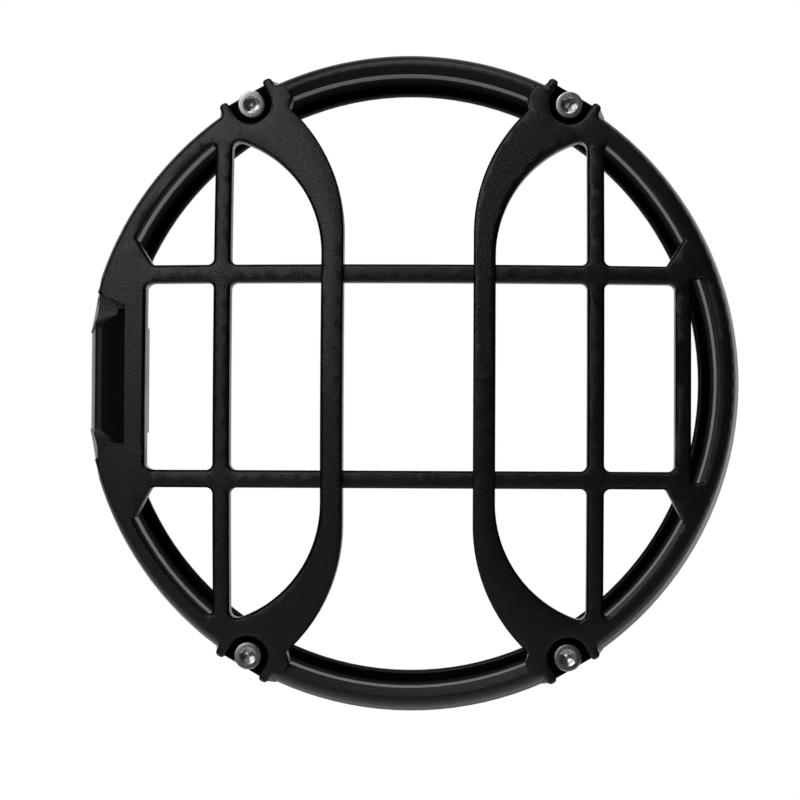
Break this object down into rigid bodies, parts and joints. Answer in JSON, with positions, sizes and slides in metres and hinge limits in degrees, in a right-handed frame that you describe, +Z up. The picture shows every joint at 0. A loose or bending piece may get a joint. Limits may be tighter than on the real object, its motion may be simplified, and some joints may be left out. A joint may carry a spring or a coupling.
{
  "type": "motorcycle headlight guard",
  "caption": "Round moulded grille guard that is screwed over a motorcycle headlight: a deep rim with a domed lattice of thin bars and sweeping blades.",
  "frame": {"origin": "middle of the four screws, on the rear mounting plane", "axes": "+Z up as fitted, -Y out of the front, +X to the right as seen from the front"},
  "size_m": [0.2067, 0.044, 0.2078],
  "materials": {
    "black_plastic": "fine-grained satin moulding",
    "screw_steel": "bright turned stainless steel"
  },
  "bodies": {
    "root": {"guard_moulding": "black_plastic", "cap_screws": "screw_steel"}
  },
  "joints": []
}
